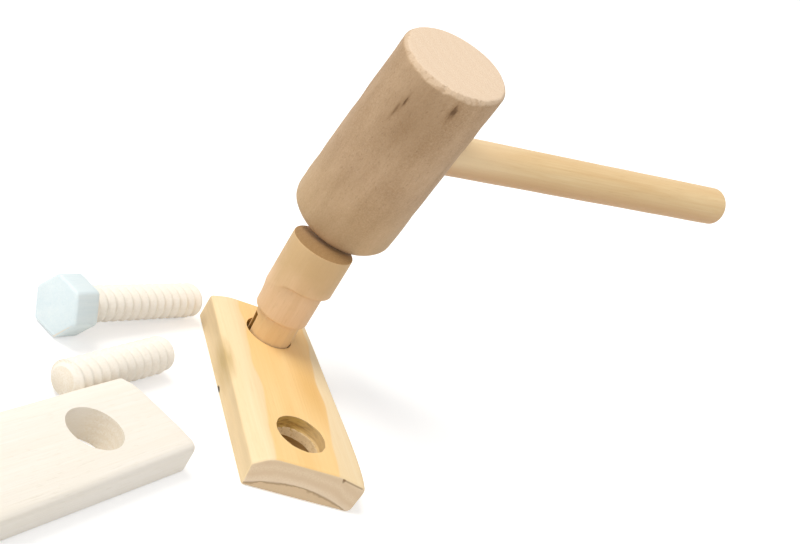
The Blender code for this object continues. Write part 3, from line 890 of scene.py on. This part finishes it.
def weathered_and_shaded_edge(tree, mm, colour):
    normal = add(tree, "TexCoord", out="Normal")
    leftwards = add(tree, "SeparateXYZ", {0: normal}, out="X")
    side = add(tree, "MapRange", {0: leftwards, 1: -0.75, 2: -0.95})
    drawn = add(tree, "VectorMath", {0: mm, 1: EDGE_PATCHES_PER_MM}, operation="MULTIPLY")
    patches = add(tree, "TexNoise", {"Vector": drawn, "Scale": 1.0, "Detail": 3.0})
    up = add(tree, "SeparateXYZ", {0: mm}, out="Z")
    # Painted shade: the greyer tint on the left side grows stronger up towards the ridge.
    high = add(tree, "MapRange", {0: up, 1: SIDE_SHADE_RISE[0], 2: SIDE_SHADE_RISE[1], 3: 0.5})
    colour = tinted(tree, colour, "dcc398", patches, (0.35, 0.7), least=0.55, within=(high, side))
    reach = spread_from(tree, mm, RIDGE_STAIN, RIDGE_STAIN_SIZE)
    ragged = add(tree, "Math", {0: patches, 1: STAIN_RAGGEDNESS, 2: reach}, operation="MULTIPLY_ADD")
    colour = tinted(tree, colour, "c2a468", ragged, (1.8, 0.8), strength=0.75)
    return tinted(tree, colour, "3f3320", spread_from(tree, mm, SPLINTER, SPLINTER_SIZE), (1.0, 0.6))


print("the ridge is stained over", 2.0 * RIDGE_STAIN_SIZE[1], "mm")

# %% [markdown]
# On the sawn ends one dark growth ring arches over browner wood, with a pale ring above it. A notch and a
# thin crack run in from the right, where the wood split as it dried. The general end grain gives rings that
# are all alike, so this arch is measured from the same pith but drawn by itself, and the split is a tint
# around a spot and along a line.

# %% Sawn end of the drilled board
RING_ARCH_CENTRE = (-1.5, 0.0, -43.2)
RING_ARCH_RADIUS = 47.5
RING_WOBBLE = 1.2
RAGGED_PER_MM = 0.35
DRYING_CHECK = (11.4, -42.2, 9.7)
DRYING_CHECK_SIZE = (0.588, 50.0, 1.111)
RIM_CHECK_START = (11.0, 0.0, 9.7)
RIM_CHECK_SQUARE = (0.17, 0.0, 0.985)
RIM_CHECK_LENGTH = 7.5
RIM_CHECK_SPAN = (0.35, 0.1)


def arched_end(tree, mm):
    """Colour of the sawn end with its one dark ring."""
    sawn, reach = end_grain(tree, mm, "Y", RING_ARCH_CENTRE, ("ecd4b4", "e4c9a7", "e2c6a3"), ring=3.4)
    ragged = add(tree, "TexNoise", {"Vector": mm, "Scale": RAGGED_PER_MM, "Detail": 2.0})
    wobble = add(tree, "Math", {0: ragged, 1: RING_WOBBLE, 2: reach}, operation="MULTIPLY_ADD")
    off = add(tree, "Math", {0: wobble, 1: RING_ARCH_RADIUS}, operation="SUBTRACT")
    sawn = tinted(tree, sawn, "dcbf98", off, (0.2, -0.2), strength=0.7)
    above = add(tree, "MapRange", {0: off, 1: 0.0, 2: 0.4})
    sawn = tinted(tree, sawn, "f8e4cb", off, (2.4, 0.6), strength=0.4, within=(above,))
    close = add(tree, "Math", {0: off}, operation="ABSOLUTE")
    thick = add(tree, "MapRange", {0: ragged, 1: 0.35, 2: 0.65, 3: 0.25, 4: 0.75})
    sawn = tinted(tree, sawn, "8c6c48", close, (thick, 0.05), strength=0.6)
    notch = spread_from(tree, mm, DRYING_CHECK, DRYING_CHECK_SIZE)
    notch = add(tree, "Math", {0: ragged, 1: notch}, operation="ADD")
    return drying_crack(tree, mm, tinted(tree, sawn, "6f5230", notch, (1.6, 1.0), strength=0.75))


def drying_crack(tree, mm, colour):
    """Thin dark line across the sawn end, from the notch to the board's right edge."""
    away = add(tree, "VectorMath", {0: mm, 1: RIM_CHECK_START}, operation="SUBTRACT")
    gap = add(tree, "VectorMath", {0: away, 1: RIM_CHECK_SQUARE}, operation="DOT_PRODUCT")
    gap = add(tree, "Math", {0: gap}, operation="ABSOLUTE")
    along = add(tree, "SeparateXYZ", {0: away}, out="X")
    begun = add(tree, "Math", {0: along, 1: 0.0}, operation="GREATER_THAN")
    ended = add(tree, "Math", {0: along, 1: RIM_CHECK_LENGTH}, operation="LESS_THAN")
    return tinted(tree, colour, "8a6a44", gap, RIM_CHECK_SPAN, strength=0.55, within=(begun, ended))


print("the dark ring bends with a radius of", RING_ARCH_RADIUS, "mm")

# %% [markdown]
# The cutter tore the fibres inside the holes, so their walls are streaked round the bore. Their brown is
# partly
# torn wood and partly painted shade: they are painted lighter on the side that faces the light and darkest
# below the collar. The pale collar is partly burnished and partly a painted highlight. The walls could be
# told by their normals, but the collar slopes, so they are told by how far a spot lies from the hole's axis.

# %% Torn wood and painted shade inside the holes
TEARS_PER_MM = 1.1
TEAR_DEPTH = 0.12
CUTTER_STREAKS_PER_MM = (0.35, 0.35, 1.6)
COLLAR_PORES_PER_MM = 2.4
LIT_WALL_SPAN = (1.5, 8.0)
DEEP_SHADE_FADE = 0.8
RIM_SPAN = (BOARD_THICKNESS - 0.02, BOARD_THICKNESS - 0.25)
WALL_SPAN = (PEG_HOLE_RADIUS + 0.35, PEG_HOLE_RADIUS + 0.2)
COLLAR_SPAN = (COLLAR_RADIUS + 0.05, COLLAR_RADIUS + 0.2)


def torn_and_shaded_wall(tree, mm, parts):
    """Colour of the torn wall of a hole, with painted shade and painted light on it."""
    drawn = add(tree, "VectorMath", {0: mm, 1: CUTTER_STREAKS_PER_MM}, operation="MULTIPLY")
    torn = add(tree, "TexNoise", {"Vector": drawn, "Scale": 1.0, "Detail": 4.0})
    # Painted shade: the wall is brown, lighter where it faces the light and darkest below the collar.
    wall = tinted(tree, linear("cea85c"), "8a6026", torn, (0.42, 0.66), strength=0.7)
    wall = tinted(tree, wall, "e9cb98", parts["X"], LIT_WALL_SPAN, strength=0.7)
    return tinted(tree, wall, "8a6024", parts["Z"], (COLLAR_LOW, COLLAR_LOW - DEEP_SHADE_FADE), strength=0.7)


def bored(tree, mm, colour):
    """Lay torn, shaded walls and a collar painted pale as a highlight over a board's colour inside its two
    holes.
    """
    parts = add(tree, "SeparateXYZ", {0: mm}).node.outputs
    wall = torn_and_shaded_wall(tree, mm, parts)
    dots = add(tree, "TexNoise", {"Vector": mm, "Scale": COLLAR_PORES_PER_MM, "Detail": 1.0})
    # Painted highlight: the collar is pale, partly as burnished wood.
    collar = tinted(tree, linear("efd5aa"), "a88550", dots, (0.64, 0.72), strength=0.5)
    rough = add(tree, "TexNoise", {"Vector": mm, "Scale": TEARS_PER_MM, "Detail": 4.0})
    tears = add(tree, "MapRange", {0: rough, 1: 0.3, 2: 0.7, 3: -TEAR_DEPTH, 4: TEAR_DEPTH})
    below_rim = add(tree, "MapRange", {0: parts["Z"], 1: RIM_SPAN[0], 2: RIM_SPAN[1]})
    level = add(tree, "VectorMath", {0: mm, 1: (1.0, 1.0, 0.0)}, operation="MULTIPLY")
    for y in (-HOLE_SPACING / 2.0, HOLE_SPACING / 2.0):
        reach = spread_from(tree, level, (0.0, y, 0.0), (1.0, 1.0, 1.0))
        depth = add(tree, "Math", {0: reach, 1: tears}, operation="ADD")
        inside = tinted(tree, collar, wall, depth, COLLAR_SPAN)
        colour = tinted(tree, colour, inside, reach, WALL_SPAN, within=(below_rim,))
    return colour


print("torn wood begins at", COLLAR_SPAN[1], "mm from a hole's axis")

# %% [markdown]
# Now the finish comes together. Larch is a resinous softwood: sawn, planed and barely oiled, it shows long
# clear lines, few pores and a warm, slightly soft gloss. Heartwood and sapwood could be two materials, but
# they are the same grain in two sets of colours, so one mask chooses between them. A painted shadow of the
# peg and the mallet deepens the heartwood right of the middle, and the weathered and shaded left side, the
# sawn ends and the bores are laid over it all.

# %% Sawn larch for the drilled board
BOARD_WIDTH = 36.2
END_MARGIN = 15.7
RIGHT_BULGE = 1.9
PEG_SHADOW_SPOT = (9.5, 0.0, 10.5)
PEG_SHADOW_SIZE = (7.0, 20.0, 20.0)


def sawn_larch():
    material, tree = new_material("sawn_larch")
    mm, heart, relief = long_grain(tree, "Y", ("fed99b", "fad08d", "f4c67f", "d09c58"), band=(8.0, 120.0),
                                   fibre=(0.7, 60.0), pore=(0.5, 6.0), pores=0.1, lines=0.25)
    # Painted shadow: the peg and the mallet shade the board right of the middle.
    peg_shadow = spread_from(tree, mm, PEG_SHADOW_SPOT, PEG_SHADOW_SIZE)
    heart = tinted(tree, heart, "e3b05f", peg_shadow, (1.2, 0.2), strength=0.6)
    _, sap, _ = long_grain(tree, "Y", ("f9e3bb", "f6dbad", "efd09d", "d7b57d"), band=(4.0, 90.0),
                           fibre=(0.6, 50.0), pore=(0.5, 6.0), pores=0.1, lines=0.25)
    middle = heartwood_mask(tree, mm)
    colour = add(tree, "Mix", {0: middle, 6: sap, 7: heart}, data_type="RGBA")
    colour = weathered_and_shaded_edge(tree, mm, colour)
    ends = facing(tree, "Y", low=0.7, high=0.9)
    sawn = arched_end(tree, mm)
    colour = add(tree, "Mix", {0: ends, 6: colour, 7: sawn}, data_type="RGBA")
    colour = bored(tree, mm, colour)
    return dress(material, colour, relief, roughness=0.52, relief=0.05)


larch = sawn_larch()
first = board("drilled_larch_board", BOARD_WIDTH, END_MARGIN, seed=1.0, bulge=RIGHT_BULGE,
              near_tool=collared_bore(), far_tool=plain_bore())
finish_piece(first, Matrix.Identity(4), larch, "board", "drilled_board", sharp=38.0)


# %% [markdown]
# The loose pieces are basswood, sanded and left bare. It is nearly white, with hardly any pores, so the eye
# gets soft shading and only a breath of grain. One finish serves the board, whose grain runs along Y, and
# the threaded rods, whose grain runs along Z. The colours stay just under white, so that no side burns out.

# %% Sanded basswood and the spare board
LOOSE_PITH = (2.0, 0.0, -6.0)
SPARE_BOARD_WIDTH = 31.0
SPARE_END_MARGIN = 27.0
SPARE_BOARD_HOLE = (-67.0, -51.0)
SPARE_BOARD_TURN = 40.0


def pale_basswood(along, least):
    """Basswood along an axis; its end grain begins where least of a face's normal lies along that axis."""
    material, tree = new_material("pale_basswood_" + along)
    mm, colour, relief = long_grain(tree, along, ("fff9f0", "fbf4e8", "f5ecdc", "e3d5be"), band=(7.0, 90.0),
                                    fibre=(0.6, 30.0), pore=(0.5, 5.0), pores=0.15, lines=0.35)
    colour = sawn_across(tree, mm, colour, along, LOOSE_PITH, ("fbf3e6", "f6ecdc", "efe2cc"),
                         ring=2.4, span=(least, 0.95))
    return dress(material, colour, relief, roughness=0.6, relief=0.06)


def on_table(x, y, turn, height=0.0):
    return Matrix.Translation((x, y, height)) @ Matrix.Rotation(math.radians(turn), 4, "Z")


spare = board("spare_basswood_board", SPARE_BOARD_WIDTH, SPARE_END_MARGIN, seed=5.0, bulge=0.0,
              near_tool=plain_bore(), far_tool=plain_bore())
far_hole = on_table(*SPARE_BOARD_HOLE, SPARE_BOARD_TURN - 90.0)
spare_place = far_hole @ Matrix.Translation((0.0, -HOLE_SPACING / 2.0, 0.0))
finish_piece(spare, spare_place, pale_basswood("Y", 0.3), "spare", "spare_board", sharp=38.0)

# %% [markdown]
# The stud and the bolt carry the same coarse, rounded, right-handed thread, slim enough to pass freely
# through the holes. Blender's Screw modifier could sweep a thread's profile, but its ends would have to be
# closed and trimmed. Here a thread is a wave that turns as it climbs, so each ring of the rod is a circle
# whose radius follows that wave, held in by a chamfer at both ends.

# %% Threaded rods and the stud
SHAFT_RADIUS = 5.1
THREAD_DEPTH = 0.6
THREAD_PITCH = 3.7
SHAFT_CREST = SHAFT_RADIUS + THREAD_DEPTH
END_CHAMFER = 1.2
THREAD_SIDES = 72
STEPS_PER_TURN = 18
STUD_LENGTH = 44.0
STUD_CENTRE = (-56.0, -12.4)
STUD_TURN = 41.0
LIE_DOWN = Matrix.Rotation(math.radians(90.0), 4, "Y")


def thread_form(low, high):
    """Round right-handed thread about Z, drawn in at both ends."""
    steps = round((high - low) / THREAD_PITCH * STEPS_PER_TURN)
    rings = []
    for k in range(steps + 1):
        height = low + (high - low) * k / steps
        reach = min(height - low, high - height)
        limit = SHAFT_CREST
        if reach < END_CHAMFER:
            limit = SHAFT_RADIUS - THREAD_DEPTH - END_CHAMFER / 2.0 + reach
        ring = []
        for i in range(THREAD_SIDES):
            angle = 2.0 * math.pi * i / THREAD_SIDES
            wave = math.cos(2.0 * math.pi * height / THREAD_PITCH - angle)
            radius = min(SHAFT_RADIUS + THREAD_DEPTH * wave, limit)
            ring.append((radius * math.cos(angle), radius * math.sin(angle), height))
        rings.append(ring)
    return skin(rings)


rod_wood = pale_basswood("Z", 0.75)
stud = mesh_object(thread_form(-STUD_LENGTH / 2.0, STUD_LENGTH / 2.0), "stud_rod")
stud_place = on_table(*STUD_CENTRE, STUD_TURN, SHAFT_CREST) @ LIE_DOWN
finish_piece(stud, stud_place, rod_wood, "stud", "threaded_stud", sharp=50.0)

# %% [markdown]
# The bolt's head is basswood dipped in thin matt paint of a very pale blue. The grain shows through as faint
# lines, and the corners, which rub first, are down to bare wood. Rubbed corners could be painted by place,
# but Cycles knows how far a surface bends outwards, its pointiness, so the wear finds every edge by itself.

# %% Thin matt paint for the bolt's head
RUBS_PER_MM = 0.6
RUB_DEPTH = 0.08
RUB_SPAN = (0.585, 0.62)


def thin_blue_paint():
    material, tree = new_material("thin_blue_paint_on_basswood")
    mm, colour, relief = long_grain(tree, "X", ("eef8fa", "e6f3f7", "dcedf3", "cbe1ea"), band=(5.0, 60.0),
                                    fibre=(0.6, 20.0), pore=(0.5, 4.0), pores=0.2, lines=0.35)
    edge = add(tree, "NewGeometry", out="Pointiness")
    rub = add(tree, "TexNoise", {"Vector": mm, "Scale": RUBS_PER_MM, "Detail": 3.0})
    bare = add(tree, "Math", {0: rub, 1: RUB_DEPTH, 2: edge}, operation="MULTIPLY_ADD")
    colour = tinted(tree, colour, "f4eee2", bare, RUB_SPAN)
    return dress(material, colour, relief, roughness=0.5, relief=0.05)


paint = thin_blue_paint()

# %% [markdown]
# The bolt lies on one flat of its head and on the tip of its thread, so it slopes by an angle that follows
# from both. The head is a six-sided block whose edges are all rounded. A cylinder of six sides would do for
# its outline, and is what the skin makes here, with a bevel on every edge so that the corners catch light.

# %% The bolt
BOLT_NECK = (-66.5, 10.5)
BOLT_TURN = 35.0
BOLT_THREAD_LENGTH = 52.0
BOLT_HEAD_LENGTH = 9.5
BOLT_HEAD_FLATS = 16.6
BOLT_HEAD_BEVEL = 1.0
HEAD_SIDES = 6
ROUND_SEGMENTS = 5


def bolt_place():
    half_flats = BOLT_HEAD_FLATS / 2.0
    droop = math.atan2(half_flats - SHAFT_CREST, BOLT_THREAD_LENGTH - END_CHAMFER)
    print("the bolt droops by", round(math.degrees(droop), 2), "degrees")
    return on_table(*BOLT_NECK, BOLT_TURN, half_flats * math.cos(droop)) @ Matrix.Rotation(droop, 4, "Y")


def bolt_block():
    """Six-sided block along X with rounded edges."""
    corner = BOLT_HEAD_FLATS / math.sqrt(3.0)
    rings = []
    for x in (-BOLT_HEAD_LENGTH, 0.0):
        angles = [2.0 * math.pi * i / HEAD_SIDES for i in range(HEAD_SIDES)]
        rings.append([(x, corner * math.cos(angle), corner * math.sin(angle)) for angle in angles])
    maker = skin(rings)
    bmesh.ops.bevel(maker, geom=maker.edges[:], offset=BOLT_HEAD_BEVEL, segments=ROUND_SEGMENTS,
                    profile=0.5, affect="EDGES")
    return mesh_object(maker, "bolt_block")


bolt = bolt_place()
rod = mesh_object(thread_form(SEAT_GAP, BOLT_THREAD_LENGTH), "bolt_rod")
finish_piece(rod, bolt @ LIE_DOWN, rod_wood, "bolt", "bolt_shank", sharp=50.0)
finish_piece(bolt_block(), bolt, paint, "bolt", "bolt_head", sharp=35.0)


# %% [markdown]
# The set lies on a plain, matt white table. More lamp light would make the table whiter, but it would burn
# out the pale wood as well. So the table glows a little, only where it is looked at or mirrored: the glow
# lights nothing, and the table still shows the set's soft shadow.

# %% A white table
TABLE_HALF_METRES = 4.0
TABLE_ROUGHNESS = 0.9
TABLE_GLOW = 0.4


def seen_directly(tree):
    """1 for light that goes straight to the eye, or there by way of a gloss or a clear piece."""
    path = add(tree, "LightPath").node.outputs
    seen = add(tree, "Math", {0: path["Is Camera Ray"], 1: path["Is Glossy Ray"]}, operation="MAXIMUM")
    return add(tree, "Math", {0: seen, 1: path["Is Transmission Ray"]}, operation="MAXIMUM")


def table():
    maker = bmesh.new()
    bmesh.ops.create_grid(maker, x_segments=1, y_segments=1, size=TABLE_HALF_METRES)
    mesh = bpy.data.meshes.new("table")
    maker.to_mesh(mesh)
    maker.free()
    thing = bpy.data.objects.new("table", mesh)
    bpy.context.scene.collection.objects.link(thing)
    material, tree = new_material("white_table")
    shader = tree.nodes["Principled BSDF"]
    shader.inputs["Base Color"].default_value = linear("eaeaea")
    shader.inputs["Roughness"].default_value = TABLE_ROUGHNESS
    shader.inputs["Specular IOR Level"].default_value = 0.0
    strength = add(tree, "Math", {0: seen_directly(tree), 1: TABLE_GLOW}, operation="MULTIPLY")
    glow = add(tree, "Emission", {"Color": linear("ffffff"), "Strength": strength})
    both = add(tree, "AddShader", {0: shader.outputs[0], 1: glow})
    tree.links.new(both, tree.nodes["Material Output"].inputs["Surface"])
    mesh.materials.append(material)
    print("table", 2.0 * TABLE_HALF_METRES, "m wide")


table()

# %% [markdown]
# Soft daylight comes from the upper left, with a weak fill from the front and an even glow from the room.
# Area lamps would do too, but a sun is the same everywhere, so it needs no distance to be tuned, and its
# angle alone sets how soft the shadows are. The room looks white to the eye and lights the set at about
# half of that, so that a colour renders as it is written.

# %% Light
ROOM_LIGHT = 0.52
WARM_DAYLIGHT = (1.0, 0.97, 0.91)
PLAIN_DAYLIGHT = (1.0, 1.0, 1.0)
# Each sun has a name, the way towards it, a strength, a spread in degrees and a colour.
SUNS = (
    ("key_sun", (-0.5, 0.14, 0.85), 1.8, 32.0, WARM_DAYLIGHT),
    ("front_sun", (-0.35, -0.85, 0.4), 0.5, 60.0, PLAIN_DAYLIGHT),
)


def room():
    world = bpy.data.worlds.new("soft_room")
    bpy.context.scene.world = world
    world.use_nodes = True
    tree = world.node_tree
    level = add(tree, "MapRange", {0: seen_directly(tree), 3: ROOM_LIGHT, 4: 1.0})
    background = tree.nodes["Background"]
    background.inputs["Color"].default_value = linear("ffffff")
    tree.links.new(level, background.inputs["Strength"])


def soft_sun(name, way, strength, spread, colour):
    data = bpy.data.lights.new(name, "SUN")
    data.energy = strength
    data.color = colour
    data.angle = math.radians(spread)
    lamp = bpy.data.objects.new(name, data)
    bpy.context.scene.collection.objects.link(lamp)
    lamp.rotation_euler = Vector(way).to_track_quat("Z", "Y").to_euler()
    print(name, "shines with", strength)


room()
for sun in SUNS:
    soft_sun(*sun)

# %% [markdown]
# The camera's place and lens were fitted to the outlines of the pieces, in millimetres of the set's own
# frame. It looks down from the near left and leans to one side. An aim at a target could not hold that lean,
# so the three axes of its pose are written out.

# %% Camera
CAMERA_SPOT = Vector((-171.61, -320.28, 199.79))
CAMERA_WAY = Vector((0.4696, 0.8085, -0.3548))
CAMERA_UP = Vector((-0.3107, 0.5275, 0.7907))
SENSOR_WIDTH = 36.0
FOCAL_PIXELS = 1300.0
IMAGE_WIDTH = 800.0
NEAREST_METRES = 0.01


def camera():
    data = bpy.data.cameras.new("camera")
    data.sensor_width = SENSOR_WIDTH
    data.lens = FOCAL_PIXELS / IMAGE_WIDTH * SENSOR_WIDTH
    data.clip_start = NEAREST_METRES
    thing = bpy.data.objects.new("camera", data)
    bpy.context.scene.collection.objects.link(thing)
    way = CAMERA_WAY.normalized()
    right = way.cross(CAMERA_UP).normalized()
    pose = Matrix((right, right.cross(way), -way)).transposed().to_4x4()
    pose.translation = CAMERA_SPOT
    thing.matrix_world = scaled(pose)
    bpy.context.scene.camera = thing
    print("lens of", data.lens, "mm")


camera()
bpy.context.scene.view_settings.view_transform = "Standard"
